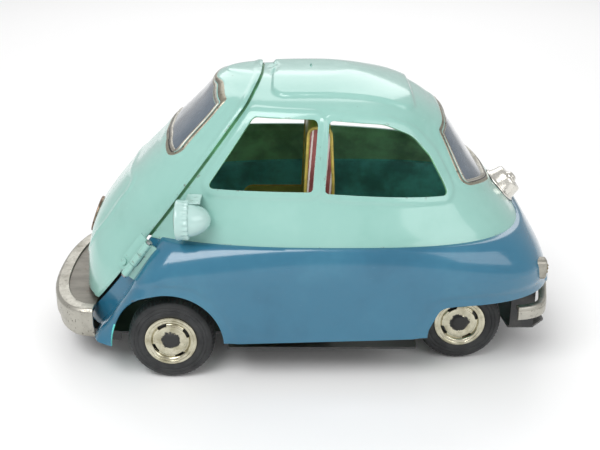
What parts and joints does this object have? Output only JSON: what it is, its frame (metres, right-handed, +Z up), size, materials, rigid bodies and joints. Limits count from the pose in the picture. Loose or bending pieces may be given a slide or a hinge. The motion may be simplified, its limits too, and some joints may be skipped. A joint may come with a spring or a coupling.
{
  "type": "friction tin bubble car",
  "caption": "Small two-tone tin bubble car with a hinged front door, rolling wheels and a geared flywheel friction drive.",
  "frame": {"origin": "on the floor, under the middle of the car's box", "axes": "+X to the tail, +Y to the car's right side, +Z up; the floor is z = 0"},
  "size_m": [0.165, 0.0902, 0.0895],
  "materials": {
    "mint_enamel": "gloss enamel",
    "blue_enamel": "gloss enamel",
    "tinted_glass": "tinted clear sheet",
    "nickel_plate": "dull nickel plating, a little worn",
    "bare_tin": "bare rolled tin",
    "black_tin": "satin black lacquer",
    "seat_print": "lithographed sheet",
    "gold_plate": "gold-tinted plating, rubbed in the middle",
    "tyre_rubber": "moulded black rubber",
    "steel": "drawn steel",
    "brass_gear": "stamped brass",
    "lens": "plated lens",
    "badge_metal": "aged badge metal"
  },
  "bodies": {
    "car_body": {"upper_body_shell": "mint_enamel", "lower_body_shell": "blue_enamel", "rear_window_pane": "tinted_glass", "rear_window_frame": "nickel_plate", "body_hinge_leaf": "mint_enamel", "hinge_pin": "steel", "base_plate": "black_tin", "front_axle_bracket": "bare_tin", "motor_frame": "bare_tin", "seat_bench": "seat_print", "front_bumper": "nickel_plate", "rear_bumper": "nickel_plate", "front_apron_plate": "bare_tin", "rear_lamp_dome": "nickel_plate", "rear_lamp_boss": "nickel_plate", "headlamp_pod_left": "mint_enamel", "headlamp_bezel_left": "mint_enamel", "headlamp_lens_left": "lens", "headlamp_tab_left": "bare_tin", "tail_lamp_rim_left": "nickel_plate", "tail_lamp_lens_left": "lens", "headlamp_pod_right": "mint_enamel", "headlamp_bezel_right": "mint_enamel", "headlamp_lens_right": "lens", "headlamp_tab_right": "bare_tin", "tail_lamp_rim_right": "nickel_plate", "tail_lamp_lens_right": "lens"},
    "front_door": {"door_panel": "mint_enamel", "windscreen_pane": "tinted_glass", "windscreen_frame": "nickel_plate", "door_badge": "badge_metal", "door_hinge_leaf": "mint_enamel", "hinge_rivet": "steel"},
    "front_wheels": {"front_axle": "steel", "front_left_tyre": "tyre_rubber", "front_left_hub": "gold_plate", "front_right_tyre": "tyre_rubber", "front_right_hub": "gold_plate"},
    "rear_wheels": {"rear_axle": "steel", "axle_gear": "brass_gear", "rear_left_tyre": "tyre_rubber", "rear_left_hub": "gold_plate", "rear_right_tyre": "tyre_rubber", "rear_right_hub": "gold_plate"},
    "idler": {"idler_shaft": "steel", "idler_pinion": "steel", "idler_gear": "brass_gear"},
    "flywheel_group": {"flywheel_shaft": "steel", "flywheel_pinion": "steel", "flywheel": "steel"}
  },
  "joints": [
    {"name": "door_hinge", "type": "hinge", "parent": "car_body", "child": "front_door", "pos_m": [-0.0503, -0.0368, 0.0391], "axis": [0.6078, 0, 0.7941], "range_deg": [0, 95]},
    {"name": "front_axle_spin", "type": "hinge", "parent": "car_body", "child": "front_wheels", "pos_m": [-0.0407, 0, 0.0134], "axis": [0, 1, 0], "continuous": true},
    {"name": "rear_axle_spin", "type": "hinge", "parent": "car_body", "child": "rear_wheels", "pos_m": [0.05, 0, 0.0134], "axis": [0, 1, 0], "continuous": true},
    {"name": "idler_spin", "type": "hinge", "parent": "car_body", "child": "idler", "pos_m": [0.04201, 0, 0.01631], "axis": [0, 1, 0], "continuous": true},
    {"name": "flywheel_spin", "type": "hinge", "parent": "car_body", "child": "flywheel_group", "pos_m": [0.036, 0, 0.02232], "axis": [0, 1, 0], "continuous": true}
  ],
  "couplings": [
    {"joint": "idler_spin", "follows": "rear_axle_spin", "ratio": -2.4},
    {"joint": "flywheel_spin", "follows": "rear_axle_spin", "ratio": 5.76}
  ]
}
